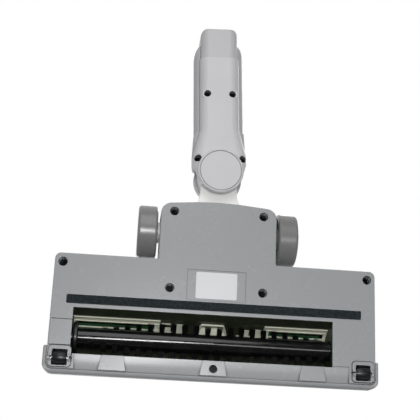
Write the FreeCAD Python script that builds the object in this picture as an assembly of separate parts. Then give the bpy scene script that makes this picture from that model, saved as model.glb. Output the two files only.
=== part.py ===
"""Motorised floor brush of a cordless vacuum cleaner, standing on its wheels.

Millimetres. +Z is up, the floor is z = 0, -Y is the front of the head and +X is the end-cap side.
Fore-and-aft places are depths measured from the front of the bumper; along() turns a depth into Y,
so that the origin lies at the bottom centre of the whole part.
"""

import FreeCAD
import Part
import math
import os

V = FreeCAD.Vector
X_AXIS = V(1, 0, 0)
Z_AXIS = V(0, 0, 1)
CLEAR = 0.3
FIT = 0.15
RUNNING = 0.05

# Levels above the floor
sole_z = 3.0
plate = 2.4
sole_top = sole_z + plate
sole_edge = 0.6

# Head, seen from above
head_half = 125.0
head_depth = 91.7
front_corner = 5.0
rear_corner = 4.6
neck_half = 46.0
neck_bow = 3.9
neck_corner = 8.5

# Axes of the turning parts
brush_depth = 29.0
brush_z = 16.5
wheel_behind_head = 25.1
neck_behind_wheel = 24.1
arm_length = 51.3
wheel_r = 21.0
axis_z = wheel_r
wheel_depth = head_depth + wheel_behind_head
neck_end = wheel_depth + neck_behind_wheel
swivel_depth = wheel_depth + arm_length
swivel_rest = 2.6

# Brush window in the sole, and the front lip
cap_width = 17.0
drive_width = 33.5
window_before = 13.8
window_behind = 21.1
window_plus = head_half - cap_width
window_minus = drive_width - head_half
window_front = brush_depth - window_before
window_rear = brush_depth + window_behind
lip_front = 3.7
lip_height = 6.0
pad_from_end = 49.0
pad_places = (head_half - pad_from_end, 0.0, pad_from_end - head_half)
pad_rear_half = 7.9
pad_front_half = 10.6
ramp_front_rise = 2.6
ramp_middle_rise = 0.75
ramp_rear_rise = 0.45
ramp_middle_depth = 9.5
ramp_round = 50.0

# End cap
cap_before = 8.0
cap_behind = 12.0
cap_front = brush_depth - cap_before
cap_rear = brush_depth + cap_behind
cap_joint = 0.45
cap_inner_gap = 0.6

# Felt strip and label
felt_end_margin = 11.4
felt_half = head_half - felt_end_margin
felt_front = window_rear + 3.0
felt_width = 6.4
felt_rear = felt_front + felt_width
felt_proud = 1.1
felt_sunk = 1.2
label_half = 16.0
label_front = felt_rear + 2.8
label_length = 20.8
label_recess_half = 23.0
label_recess_margin = 1.8
recess_deep = 0.4
label_thick = 0.3

# Sole screws: half spacing across, and depth
screw_rows = (
    (head_half - 6.3, head_depth - 7.0),
    (neck_half - 9.9, felt_rear + 9.8),
    (neck_half - 10.5, neck_end - 10.2),
)
front_screw_depth = 9.1
front_boss_r = 3.9
counterbore_r = 3.6
counterbore_step = 4.0
counterbore_low_r = 3.1
counterbore_deep = 9.5
screw_floor = 2.0
screw_boss_wall = 1.4
screw_head_r = 2.7
screw_head = 1.8
screw_shank_r = 1.4
screw_grip = 8.0
front_screw_grip = 4.0
post_r = 4.0
front_post_r = 2.2
screw_boss_r = counterbore_r + screw_boss_wall
screw_head_z = sole_z + counterbore_deep
screw_boss_top = screw_head_z + screw_floor
front_post_top = screw_boss_top + front_screw_grip + 1.5

# Chamber over the brush, cream frames in it and the viewing window behind them
chamber_r = 17.5
chamber_wall = 1.8
chamber_end = 1.8
frame_wall = 2.1
frame_ridge = 0.6
frame_angles = (9.5, 101.0)
frame_fit_angle = 0.5
frame_opening_angles = (31.0, 97.0)
frame_ridge_angle = 2.0
frame_bar = 4.2
frame_half = 41.0
panel_half = 20.0
panel_angle = 52.0
lens_wall = 2.4
lens_angles = (8.0, 108.0)
aperture_angles = (55.0, 97.0)
aperture_inset = 3.0
liner_r = chamber_r + chamber_wall
lens_r = liner_r + CLEAR
lens_outer_r = lens_r + lens_wall
mouth_low = 21.9
mouth_high = 32.4
mouth_low_half = 8.9
mouth_high_half = 13.0
mouth_rim = 0.9
mouth_wall = 1.2

# Top shell
shell_front = 4.5
shell_wall = 2.2
shell_inner_r = lens_outer_r + CLEAR
shell_arc = shell_inner_r + shell_wall
shell_height = brush_z + shell_arc
shell_end_round = 8.0
shell_rear_round = 9.0
neck_height = shell_height - 2.0
neck_round = 7.0
neck_overlap = 20.0
slot_gap = 0.8
cap_height = shell_height - 8.0

# Bumper
bumper_out = 3.0
bumper_low = 4.4
bumper_high = 17.5
bumper_end = 20.7
bumper_nose = 4.0
bumper_edge = 2.5
bumper_groove = 0.6
bumper_groove_top = sole_top + 1.2

# Brush roll
core_r = 7.5
core_flute = 0.6
tuft_r = 15.2
tuft_rows = 2
tuft_pitch = 8.8
tufts_to_plus = math.floor((window_plus - 8.0) / tuft_pitch)
tufts_to_minus = math.floor(-window_minus / tuft_pitch)
tuft_thick = 2.6
tuft_width = 3.6
tuft_flare = 1.3
tuft_middle_angle = -33.0
tuft_twist = 0.94
flange_r = 12.6
drive_flange_r = 10.4
flange_thick = 3.0
flange_hub = 1.0
flange_hub_r = 5.2
brush_plus = window_plus - flange_thick - flange_hub - 0.2
brush_minus = window_minus - chamber_end - CLEAR
core_way = core_r + 0.6
axle_r = 2.0
bush_r = 4.9
bush_length = 6.0
housing_r = 7.5

# Suction duct
duct_half = 15.0
duct_wall = 1.8
duct_low = 19.6
duct_high = 36.6

# Belt drive and motor
motor_before_rear = 17.7
motor_depth = head_depth - motor_before_rear
motor_z = 21.0
motor_r = 12.2
motor_front = window_minus + 3.5
motor_length = 42.0
motor_bell = 5.0
motor_nose_r = 5.0
motor_nose = 2.5
shaft_in_motor = 14.0
clamp_wall = 1.8
clamp_length = 14.0
clamp_foot = 2.8
shaft_r = 1.6
belt_x = window_minus - 11.0
belt_width = 6.0
belt_thick = 1.2
brush_pulley_r = 9.2
motor_pulley_r = 4.6
pulley_rim = 1.2
pulley_rim_width = 1.0
drive_bush_x = 8.0 - head_half
pedestal_wall = 2.5

# Wheels and rollers
wheel_inner = neck_half + 2.0
wheel_width = 15.5
wheel_outer = wheel_inner + wheel_width
wheel_round = 1.8
wheel_axle_r = 3.0
wheel_axle_head_r = 5.5
axle_tip = 0.5
axle_start = neck_half - 16.0
roller_x = head_half - 9.8
roller_depth = 11.7
roller_r = 5.5
roller_crown = 0.8
roller_width = 10.0
roller_pin_r = 1.2
pocket_half = 5.8
pocket_before = 5.7
pocket_behind = 6.2
pocket_frame = 2.6
pocket_front_frame = 0.9
pocket_rise = 0.6
pocket_moat = 0.6
pocket_moat_deep = 0.9
ear_r = 4.2
ear_width = 2.4
ear_slit = 1.9
roller_pin_half = pocket_half + ear_width - 0.9

# Pivot arm
trunnion_r = 8.35
trunnion_end = neck_half + 1.7
barrel_r = 14.8
barrel_half = 21.0
barrel_wall = 2.4
arm_low = axis_z - 4.3
arm_high = axis_z + 10.7
arm_half = 14.8
arm_wall = 2.2
flare_before = 6.0
flare_behind = 8.0
flare_round = 12.0
channel_half = 12.4
air_half = 8.0
lug_r = 17.6
hub_r = 11.0
hub_wall = 2.0

# Connector tube, measured from the swivel axis
tube_low = 7.0
tube_high = 38.0
lower_half = 16.5
upper_half = 20.6
lower_corner = 7.5
lower_inner_corner = 3.8
lip_z = 13.2
lip_round = 9.0
upper_round = 12.0
split_z = 21.0
tube_wall = 2.2
yoke_r = 19.8
yoke_face_r = 18.6
yoke_low_r = 16.8
wing_half = 22.2
wing_corner = 9.0
wing_rear = 36.0
wing_start = 15.0
wing_front = 9.0
wing_nose = (15.5, -11.0)
wing_round = 8.0
collar_start = 6.0
shoulder = 114.6
shoulder_lead = 3.0
shoulder_round = 14.0
step_line = 100.2
tip = 126.42
spigot_half = 15.6
spigot_low = 7.4
spigot_high = 35.4
spigot_round = 7.0
tip_round = 5.0
spigot_wall = 2.0
tenon = 20.0
disc_r = 18.6
disc_thick = 1.8
groove_r = 16.4
groove = 0.6
mid_screw_half = 10.4
mid_screw = 67.3
ear_screw_half = 18.2
ear_screw = 11.0
ear_seat = arm_low - CLEAR
ear_counterbore_r = 2.9
tube_counterbore_r = 2.9
tube_counterbore = 6.0
tube_screw_r = 1.2
tube_boss_wall = 1.4
ear_post_r = 2.4
mid_post_r = 2.6
pilot_cover = 3.0
air_window_inset = 1.5
tube_screw_grip = 9.0
contact_half = 8.0
contact_length = 16.0
contact_high = 4.5
contact_set_back = 7.0
contact_pin_r = 1.1
contact_pin_length = 5.0
lean = math.radians(swivel_rest)
overall = (swivel_depth + (tip - tip_round) * math.cos(lean)
           + (spigot_half - tip_round) * math.sin(lean) + tip_round)


def along(depth):
    """Y of a depth measured from the front of the bumper."""
    return depth - overall / 2


def outline(corners):
    """Closed wire through (x, y, radius) corners, each rounded by a tangent arc."""
    count = len(corners)
    ends = []
    for i, (x, y, r) in enumerate(corners):
        here = V(x, y, 0)
        before = V(*corners[i - 1][:2], 0) - here
        after = V(*corners[(i + 1) % count][:2], 0) - here
        before.normalize()
        after.normalize()
        if r <= 0:
            ends.append((here, None, here))
            continue
        half = before.getAngle(after) / 2
        reach = r / math.tan(half)
        middle = before + after
        middle.normalize()
        centre = here + middle * (r / math.sin(half))
        ends.append((here + before * reach, centre - middle * r, here + after * reach))
    edges = []
    for i, (start, crown, end) in enumerate(ends):
        if crown is not None:
            edges.append(Part.Arc(start, crown, end).toShape())
        onward = ends[(i + 1) % count][0]
        if end.distanceToPoint(onward) > 1e-6:
            edges.append(Part.LineSegment(end, onward).toShape())
    return Part.Wire(edges)


def upright(corners, low, high):
    """Prism standing on the XY plane from corners given as (x, y, radius)."""
    solid = Part.Face(outline(corners)).extrude(V(0, 0, high - low))
    solid.translate(V(0, 0, low))
    return solid


def across(corners, start, end):
    """Prism along X from corners given as (y, z, radius)."""
    solid = Part.Face(outline(corners)).extrude(V(0, 0, end - start))
    solid.rotate(V(0, 0, 0), V(1, 1, 1), 120)
    solid.translate(V(start, 0, 0))
    return solid


def lengthwise(corners, start, end):
    """Prism along Y from corners given as (x, z, radius)."""
    solid = Part.Face(outline(corners)).extrude(V(0, 0, end - start))
    solid.rotate(V(0, 0, 0), X_AXIS, 90)
    solid.translate(V(0, end, 0))
    return solid


def rectangle(low_x, high_x, low_y, high_y, radius=0):
    return [(low_x, low_y, radius), (high_x, low_y, radius), (high_x, high_y, radius), (low_x, high_y, radius)]


def block(low_x, high_x, low_y, high_y, low_z, high_z):
    return Part.makeBox(high_x - low_x, high_y - low_y, high_z - low_z, V(low_x, low_y, low_z))


def rod_x(radius, start, end, y, z):
    return Part.makeCylinder(radius, abs(end - start), V(min(start, end), y, z), X_AXIS)


def rod_z(radius, low, high, x=0, y=0):
    return Part.makeCylinder(radius, high - low, V(x, y, low), Z_AXIS)


def turned_x(profile, y, z):
    """Solid turned about an X-parallel axis from (x, radius) points of a closed half section."""
    points = [V(x, r, 0) for x, r in profile]
    solid = Part.Face(Part.makePolygon(points + points[:1])).revolve(V(0, 0, 0), X_AXIS, 360)
    solid.translate(V(0, y, z))
    return solid


def turned_z(profile):
    """Solid turned about the Z axis from (radius, z) points of a closed half section."""
    points = [V(r, 0, z) for r, z in profile]
    return Part.Face(Part.makePolygon(points + points[:1])).revolve(V(0, 0, 0), Z_AXIS, 360)


def sector_x(inner, outer, angles, start, end, y, z):
    """Curved plate about an X-parallel axis, between two angles measured from the rear upwards."""
    low, high = (math.radians(a) for a in angles)
    middle = (low + high) / 2

    def at(radius, angle):
        return V(0, y + radius * math.cos(angle), z + radius * math.sin(angle))

    edges = [
        Part.Arc(at(outer, low), at(outer, middle), at(outer, high)).toShape(),
        Part.LineSegment(at(outer, high), at(inner, high)).toShape(),
        Part.Arc(at(inner, high), at(inner, middle), at(inner, low)).toShape(),
        Part.LineSegment(at(inner, low), at(outer, low)).toShape(),
    ]
    solid = Part.Face(Part.Wire(edges)).extrude(V(end - start, 0, 0))
    solid.translate(V(start, 0, 0))
    return solid


def joined(first, *others):
    return first.fuse(list(others)).removeSplitter()


def both_sides(shape):
    """The shape and its mirror image across the centre plane."""
    return [shape, shape.mirror(V(0, 0, 0), X_AXIS)]


def on_tube(shape):
    """Places a shape modelled about the swivel axis at its rest angle behind the head."""
    turned = shape.copy()
    turned.rotate(V(0, 0, 0), Z_AXIS, -swivel_rest)
    turned.translate(V(0, along(swivel_depth), 0))
    return turned


def save(node, shape):
    if not shape.isValid():
        print("invalid:", node)
    solids = shape.Solids
    shape = solids[0] if len(solids) == 1 else Part.makeCompound(solids)
    shape.exportStep(f"parts/{node}.step")
    print(f"{node}: {len(solids)} solid(s), {shape.Volume / 1000:.2f} cm3")


# Head: outlines shared by the sole plate and the top shell
def head_plan(inset=0.0, front=lip_front):
    half = head_half - inset
    back = head_depth - inset
    return [
        (-half, along(front), front_corner),
        (half, along(front), front_corner),
        (half, along(back), rear_corner),
        (-half, along(back), rear_corner),
    ]


def neck_plan(inset=0.0):
    half = neck_half - inset
    start = head_depth - rear_corner - 2 * shell_wall
    corner = neck_corner - inset
    return [
        (-half, along(start), 0),
        (half, along(start), 0),
        (half, along(neck_end - neck_bow - inset), corner),
        (0, along(neck_end - inset), 250.0),
        (-half, along(neck_end - neck_bow - inset), corner),
    ]


def sole_screw_places():
    """Every sole screw as (x, y), without the one in the front lip."""
    return [(side * x, along(depth)) for x, depth in screw_rows for side in (1, -1)]


def ramp_cutters():
    """Rounded-over bays cut into the front lip between the pads."""
    rear = along(window_front)
    front = along(lip_front)
    slope = [
        (rear + 2, sole_z - 2, 0),
        (rear + 2, sole_z + ramp_rear_rise, 0),
        (along(ramp_middle_depth), sole_z + ramp_middle_rise, ramp_round),
        (front - 2, sole_z + ramp_front_rise, 0),
        (front - 2, sole_z - 2, 0),
    ]
    wedge = across(slope, -head_half, head_half)
    bays = []
    edge = roller_x - pocket_half - ear_width - pocket_frame
    for start, end in zip((edge, *pad_places), (*pad_places, -edge)):
        first = pad_places.count(start)
        last = pad_places.count(end)
        bay = [
            (end + last * pad_rear_half, rear + 1, 0),
            (end + last * pad_front_half, front - 1, 0),
            (start - first * pad_front_half, front - 1, 0),
            (start - first * pad_rear_half, rear + 1, 0),
        ]
        bays.append(upright(bay, sole_z - 2, sole_z + lip_height).common(wedge))
    return bays


def pocket_outline(grow):
    """Outline of the raised frame round a roller pocket, on the end-cap side."""
    y = along(roller_depth)
    frame_x = pocket_half + pocket_frame + grow
    return rectangle(roller_x - frame_x, roller_x + frame_x,
                     y - pocket_before - pocket_front_frame - grow, y + pocket_behind + pocket_frame + grow,
                     2.6 + grow)


def roller_pocket():
    """Material and cuts of one front roller's pocket, on the end-cap side."""
    y = along(roller_depth)
    frame = upright(pocket_outline(0), sole_z - pocket_rise, sole_top)
    ears = [rod_x(ear_r, roller_x + side * pocket_half, roller_x + side * (pocket_half + ear_width), y, roller_r)
            for side in (-1, 1)]
    inside = upright(head_plan(shell_wall + FIT, shell_front + shell_wall + FIT), sole_top, 2 * wheel_r)
    below = upright(head_plan(), 0, sole_top)
    ears = [joined(ear.common([inside]), ear.common([below])) for ear in ears]
    moat = upright(pocket_outline(pocket_moat), sole_z - 1, sole_z + pocket_moat_deep).cut([frame])
    hole = upright(
        rectangle(roller_x - pocket_half, roller_x + pocket_half, y - pocket_before, y + pocket_behind, 0.8),
        sole_z - 3, sole_top + 9)
    reach = pocket_half + ear_width + 1
    pin = rod_x(roller_pin_r + RUNNING, roller_x - reach, roller_x + reach, y, roller_r)
    slit = block(roller_x - reach, roller_x + reach, y - ear_slit / 2, y + ear_slit / 2, 0, roller_r)
    return joined(frame, *ears), [hole, pin, slit], moat


def sole_plate():
    footprint = joined(upright(head_plan(), sole_z, sole_top), upright(neck_plan(), sole_z, sole_top))
    rim = [edge for edge in footprint.Edges if all(abs(v.Z - sole_z) < 0.01 for v in edge.Vertexes)]
    footprint = footprint.makeChamfer(sole_edge, rim)
    lip = block(window_minus - 6, window_plus - 4, along(shell_front + shell_wall + CLEAR), along(window_front),
                sole_z + plate / 2, sole_z + lip_height)
    front_y = along(front_screw_depth)
    bosses = [rod_z(screw_boss_r, sole_z + plate / 2, screw_boss_top, x, y) for x, y in sole_screw_places()]
    bosses.append(rod_z(front_boss_r, sole_z + plate / 2, screw_boss_top, 0, front_y))
    plate_solid = joined(footprint, lip, *bosses)

    window = upright(
        rectangle(window_minus, window_plus, along(window_front), along(window_rear), 0.6),
        sole_z - 3, brush_z)
    end_notch = block(window_plus - 1, head_half + 1, along(cap_front), along(cap_rear),
                      sole_z - 1, sole_top + 1)
    felt_slot = upright(
        rectangle(-felt_half - 0.2, felt_half + 0.2, along(felt_front - 0.2), along(felt_rear + 0.2), 1.2),
        sole_z - 1, sole_z + felt_sunk)
    recess = upright(
        rectangle(-label_recess_half, label_recess_half, along(label_front - label_recess_margin),
                  along(label_front + label_length + label_recess_margin), 1.0),
        sole_z - 1, sole_z + recess_deep)
    frame, hollows, moat = roller_pocket()
    cuts = [window, end_notch, felt_slot, recess, *ramp_cutters(), *both_sides(moat)]
    for x, y in [*sole_screw_places(), (0, front_y)]:
        wide = counterbore_low_r if x == 0 else counterbore_r
        cuts.append(rod_z(wide, sole_z - 1, sole_z + counterbore_step, x, y))
        cuts.append(rod_z(counterbore_low_r, sole_z - 1, screw_head_z, x, y))
        cuts.append(rod_z(screw_shank_r + RUNNING, sole_z, screw_boss_top + 1, x, y))
    plate_solid = plate_solid.cut(cuts)
    hollows = [cut for hollow in hollows for cut in both_sides(hollow)]
    plate_solid = joined(plate_solid, *both_sides(frame)).cut(hollows)

    wheel_y = along(wheel_depth)
    saddle = block(neck_half - shell_wall - CLEAR, neck_half - RUNNING * 2, wheel_y - trunnion_r + 0.1,
                   wheel_y + trunnion_r - 0.1, sole_top, axis_z - 0.1)
    saddle = saddle.cut(rod_x(trunnion_r + RUNNING, 0, neck_half + 1, wheel_y, axis_z))
    cradle_r = motor_r + CLEAR
    ribs = [block(x - 1, x + 1, along(motor_depth) - cradle_r * 0.8, along(motor_depth) + cradle_r * 0.8,
                  sole_top, motor_z - 4) for x in (motor_front + 8, motor_front + motor_length - 8)]
    motor_room = rod_x(cradle_r, motor_front, motor_front + motor_length, along(motor_depth), motor_z)
    ribs = [rib.cut(motor_room) for rib in ribs]
    pedestal = block(drive_bush_x - pedestal_wall / 2, drive_bush_x + pedestal_wall / 2,
                     along(brush_depth) - bush_r - 3, along(brush_depth) + bush_r + 3, sole_top, brush_z)
    pedestal = pedestal.cut(rod_x(bush_r, drive_bush_x - 5, drive_bush_x + 5, along(brush_depth), brush_z))
    return joined(plate_solid, *both_sides(saddle), *ribs, pedestal)


def head_block(inset, floor_z):
    """Outer (inset 0) or inner form of the head part of the top shell."""
    plan = upright(head_plan(inset, shell_front + inset), floor_z, shell_height)
    side = across([
        (along(shell_front + inset), floor_z, 0),
        (along(shell_front + inset), shell_height - inset, shell_arc - inset),
        (along(head_depth - inset), shell_height - inset, shell_rear_round),
        (along(head_depth - inset), floor_z, 0),
    ], -head_half, head_half)
    front = lengthwise([
        (-head_half + inset, floor_z, 0),
        (head_half - inset, floor_z, 0),
        (head_half - inset, shell_height - inset, shell_end_round),
        (-head_half + inset, shell_height - inset, shell_end_round),
    ], along(0), along(head_depth))
    return plan.common([side]).common([front])


def neck_block(inset, floor_z):
    """Outer (inset 0) or inner form of the neck part of the top shell."""
    plan = upright(neck_plan(inset), floor_z, neck_height)
    front = lengthwise([
        (-neck_half + inset, floor_z, 0),
        (neck_half - inset, floor_z, 0),
        (neck_half - inset, neck_height - inset, neck_round),
        (-neck_half + inset, neck_height - inset, neck_round),
    ], along(head_depth - neck_overlap), along(neck_end + 1))
    return plan.common([front])


def top_shell():
    outer = joined(head_block(0, sole_top), neck_block(0, sole_top))
    inner = joined(head_block(shell_wall, sole_top - 1), neck_block(shell_wall, sole_top - 1))
    shell = outer.cut([inner])

    half_slot = barrel_half + slot_gap
    wheel_y = along(wheel_depth)
    brush_y = along(brush_depth)
    front_y = along(front_screw_depth)
    cheek = block(half_slot, half_slot + shell_wall, along(head_depth - shell_wall), along(neck_end - neck_bow),
                  axis_z, neck_height - 1)
    cheek = cheek.cut([rod_x(trunnion_r + 1, 0, neck_half, wheel_y, axis_z)]).common([neck_block(0.5, sole_top)])
    posts = [rod_z(post_r, screw_boss_top, shell_height - shell_wall / 2, x, y) for x, y in sole_screw_places()]
    posts = [post.common([outer]) for post in posts]
    front_post = rod_z(front_post_r, screw_boss_top, front_post_top, 0, front_y)
    front_web = block(-1, 1, along(shell_front + 0.5), front_y, screw_boss_top, front_post_top)
    bush_clamp = block(drive_bush_x - pedestal_wall / 2, drive_bush_x + pedestal_wall / 2,
                       brush_y - bush_r - 1, brush_y + bush_r + 1, brush_z + 0.1, shell_height - 1)
    inner_parts = [front_post, front_web, bush_clamp.common([outer])]
    shell = joined(shell, *both_sides(cheek), *posts, *inner_parts)

    trunnion_hole = rod_x(trunnion_r + RUNNING, neck_half - 6, neck_half + 1, wheel_y, axis_z)
    trunnion_way = block(neck_half - 6, neck_half + 1, wheel_y - trunnion_r, wheel_y + trunnion_r,
                         sole_top - 1, axis_z)
    barrel_room = rod_x(barrel_r + slot_gap, -half_slot, half_slot, wheel_y, axis_z)
    arm_slot = block(-half_slot, half_slot, along(wheel_depth - arm_high + axis_z - slot_gap),
                     along(neck_end + 5), arm_low - slot_gap, shell_height + 1)
    end_notch = block(head_half - 6, head_half + 1, along(cap_front), along(cap_rear), sole_top - 1, cap_height)
    aperture = sector_x(shell_inner_r - 2, shell_arc + 8, aperture_angles, window_minus + aperture_inset,
                        window_plus - aperture_inset, brush_y, brush_z)
    chamber_room = rod_x(shell_inner_r, window_minus - chamber_end, window_plus + chamber_end, brush_y, brush_z)
    pilots = [rod_z(screw_shank_r + RUNNING, screw_boss_top - 1, screw_boss_top + screw_grip, x, y)
              for x, y in sole_screw_places()]
    pilots.append(rod_z(screw_shank_r + RUNNING, screw_boss_top - 1, screw_boss_top + front_screw_grip,
                        0, front_y))
    boss_rooms = [rod_z(screw_boss_r + FIT, sole_top - 1, screw_boss_top, x, y) for x, y in sole_screw_places()]
    boss_rooms.append(rod_z(front_boss_r + FIT, sole_top - 1, screw_boss_top, 0, front_y))
    bush_room = rod_x(bush_r, drive_bush_x - 5, drive_bush_x + 5, brush_y, brush_z)
    roller_room = rod_x(roller_r + CLEAR, roller_x - pocket_half, roller_x + pocket_half,
                        along(roller_depth), roller_r)
    mirrored = [cut for shape in (roller_room, trunnion_hole, trunnion_way) for cut in both_sides(shape)]
    cuts = [barrel_room, arm_slot, end_notch, aperture, chamber_room, bush_room]
    return shell.cut([*mirrored, *cuts, *pilots, *boss_rooms]).removeSplitter()


def front_bumper():
    """Soft strip round the front of the shell, with a groove between it and the sole plate."""
    reach = head_half + bumper_out
    outer = upright([
        (-reach, along(0), front_corner + bumper_out),
        (reach, along(0), front_corner + bumper_out),
        (reach, along(bumper_end), 1.5),
        (-reach, along(bumper_end), 1.5),
    ], bumper_low, bumper_high)
    side = across([
        (along(0), bumper_low, bumper_nose),
        (along(0), bumper_high, bumper_nose),
        (along(bumper_end), bumper_high, 0),
        (along(bumper_end), bumper_low, 0),
    ], -reach, reach)
    front = lengthwise([
        (-reach, bumper_low, bumper_edge),
        (reach, bumper_low, bumper_edge),
        (reach, bumper_high, bumper_edge),
        (-reach, bumper_high, bumper_edge),
    ], along(0), along(bumper_end))
    inner = upright(head_plan(-RUNNING, shell_front - RUNNING), bumper_low - 1, bumper_high + 1)
    groove_plan = head_plan(-bumper_groove, lip_front - bumper_groove)
    sole_groove = upright(groove_plan, bumper_low - 1, bumper_groove_top)
    return outer.common([side]).common([front]).cut([inner, sole_groove])


# Chamber over the brush
def chamber_section(grow):
    """Section of the chamber in Y and Z: half a pipe with a slanted rear wall."""
    r = chamber_r + grow
    y = along(brush_depth)
    foot = sole_top - 1 + (0 if grow else -2)
    return [
        (y - r, foot, 0),
        (y - r, brush_z + r, r - 0.01),
        (y + r, brush_z + r, r - 0.01),
        (y + r, brush_z, 0),
        (along(window_rear) + grow, sole_top, 0),
        (along(window_rear) + grow, foot, 0),
    ]


def chamber_curve(inner, outer, angles, start, end):
    """Curved plate of the chamber between two angles and two places along the brush."""
    return sector_x(inner, outer, angles, start, end, along(brush_depth), brush_z)


def brush_chamber():
    y = along(brush_depth)
    outer = across(chamber_section(chamber_wall), window_minus - chamber_end, window_plus + chamber_end)
    inner = across(chamber_section(0), window_minus, window_plus)
    below = block(-head_half, head_half, y - 3 * chamber_r, y + 3 * chamber_r, -chamber_r, sole_top)
    shell = outer.cut([inner, below])
    lip_room = block(-head_half, head_half, along(0), along(window_front), sole_top - 1, sole_z + lip_height)
    boss_way = joined(rod_x(housing_r + CLEAR, window_plus - 1, window_plus + 5, y, brush_z),
                      block(window_plus - 1, window_plus + 5, y - housing_r - CLEAR, y + housing_r + CLEAR,
                            0, brush_z))
    drive_way = rod_x(core_way, window_minus - 5, window_minus + 1, y, brush_z)
    low, high = chamber_r - 1, liner_r + 1
    shallow = (panel_angle - frame_fit_angle, frame_angles[1])
    openings = [
        chamber_curve(low, high, frame_angles, frame_half - FIT, window_plus),
        chamber_curve(low, high, frame_angles, window_minus, FIT - frame_half),
        chamber_curve(low, high, shallow, panel_half - FIT, frame_half),
        chamber_curve(low, high, shallow, -frame_half, FIT - panel_half),
    ]
    mouth = lengthwise(mouth_outline(0), y, y + liner_r + 6)
    front_y = along(front_screw_depth)
    screw_rooms = [rod_z(front_boss_r + CLEAR, sole_top, screw_boss_top + CLEAR, 0, front_y),
                   rod_z(front_post_r + CLEAR, sole_top, front_post_top + CLEAR, 0, front_y)]
    ear_rooms = both_sides(rod_x(ear_r + CLEAR, roller_x - pocket_half - ear_width - CLEAR, roller_x,
                                 along(roller_depth), roller_r))
    return shell.cut([lip_room, boss_way, drive_way, *openings, mouth, *screw_rooms, *ear_rooms])


def lens_frame(end):
    """Cream frame round one viewing opening, with a panel towards the suction mouth."""
    side = 1 if end > 0 else -1
    end -= side * FIT
    inner, outer = liner_r - frame_wall, liner_r
    angles = (frame_angles[0] + frame_fit_angle, frame_angles[1] - frame_fit_angle)
    low, high = frame_opening_angles
    start = side * frame_half

    def strip(inner_r, outer_r, span, first, last):
        return chamber_curve(inner_r, outer_r, span, min(first, last), max(first, last))

    frame = strip(inner, outer, angles, start, end)
    opening = strip(inner - 2, outer + 1, (low, high), start + side * frame_bar, end - side * shell_wall)
    panel = strip(inner, outer, (panel_angle, angles[1]), side * panel_half, start)
    ridges = [strip(inner - frame_ridge, inner + 0.1, span, start, end)
              for span in ((angles[0], angles[0] + frame_ridge_angle), (low - frame_ridge_angle, low))]
    return joined(frame, panel, *ridges).cut([opening])


def lens_frames():
    return Part.makeCompound([lens_frame(window_plus), lens_frame(window_minus)])


def mouth_outline(shrink):
    return [
        (-mouth_low_half + shrink, mouth_low + shrink, 1.0),
        (mouth_low_half - shrink, mouth_low + shrink, 1.0),
        (mouth_high_half - shrink, mouth_high - shrink, 1.0),
        (-mouth_high_half + shrink, mouth_high - shrink, 1.0),
    ]


def viewing_window():
    y = along(brush_depth)
    lens = sector_x(lens_r, lens_outer_r, lens_angles, window_minus + 1, window_plus - 1, y, brush_z)
    duct_room = block(-duct_half - 1, duct_half + 1, y, y + 40, 0, 60)
    return lens.cut([duct_room])


def suction_duct():
    y = along(brush_depth)
    rear = along(wheel_depth - barrel_r - 2.0)
    box = lengthwise([
        (-duct_half, duct_low, 2.0),
        (duct_half, duct_low, 2.0),
        (duct_half, duct_high, 2.0),
        (-duct_half, duct_high, 2.0),
    ], y, rear)
    box = box.cut([rod_x(liner_r + CLEAR, -2 * duct_half, 2 * duct_half, y, brush_z)])
    bore = lengthwise([
        (-duct_half + duct_wall, duct_low + duct_wall, 1.0),
        (duct_half - duct_wall, duct_low + duct_wall, 1.0),
        (duct_half - duct_wall, duct_high - duct_wall, 1.0),
        (-duct_half + duct_wall, duct_high - duct_wall, 1.0),
    ], y + liner_r - 4, rear + 1)
    bore = bore.cut([rod_x(liner_r + CLEAR + duct_wall, -2 * duct_half, 2 * duct_half, y, brush_z)])
    collar = lengthwise(mouth_outline(FIT), y, y + liner_r + 2)
    throat = lengthwise(mouth_outline(FIT + mouth_wall), y - 1, y + liner_r + 3)
    collar = collar.cut([rod_x(chamber_r - mouth_rim, -2 * duct_half, 2 * duct_half, y, brush_z)])
    rib = block(-1, 1, along(window_rear + chamber_wall + 2), rear - 4, sole_top, duct_low + 0.5)
    barrel_room = rod_x(barrel_r + slot_gap, -2 * duct_half, 2 * duct_half, along(wheel_depth), axis_z)
    return joined(box, collar, rib).cut([bore, throat, barrel_room])


# Brush roll
def tuft(angle, x):
    """One bristle bundle: a block that widens from the core to its tip."""
    foot, head = (
        [V(x - wide, -thick, r), V(x + wide, -thick, r), V(x + wide, thick, r), V(x - wide, thick, r)]
        for wide, thick, r in (
            (tuft_width / 2, tuft_thick / 2, core_r - 1.0),
            (tuft_width / 2 * tuft_flare, tuft_thick / 2 * tuft_flare, tuft_r)))
    solid = Part.makeLoft([Part.makePolygon(foot + foot[:1]), Part.makePolygon(head + head[:1])], True, True)
    solid = solid.cut([rod_x(core_r, x - tuft_pitch, x + tuft_pitch, 0, 0)])
    solid.rotate(V(0, 0, 0), X_AXIS, angle)
    solid.translate(V(0, along(brush_depth), brush_z))
    return solid


def brush_tufts():
    """Two rows that spiral from both ends towards the suction mouth in the middle."""
    solids = []
    for i in range(-tufts_to_minus, tufts_to_plus):
        x = tuft_pitch * (i + 0.5)
        for row in range(tuft_rows):
            angle = tuft_middle_angle + tuft_twist * abs(x) + row * 360 / tuft_rows
            solids.append(tuft(angle - 90, x))
    return Part.makeCompound(solids)


def brush_core():
    return turned_x([
        (brush_minus, axle_r + RUNNING), (brush_minus, core_r - core_flute), (brush_minus + core_flute, core_r),
        (brush_plus - core_flute, core_r), (brush_plus, core_r - core_flute), (brush_plus, axle_r + RUNNING),
    ], along(brush_depth), brush_z)


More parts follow.
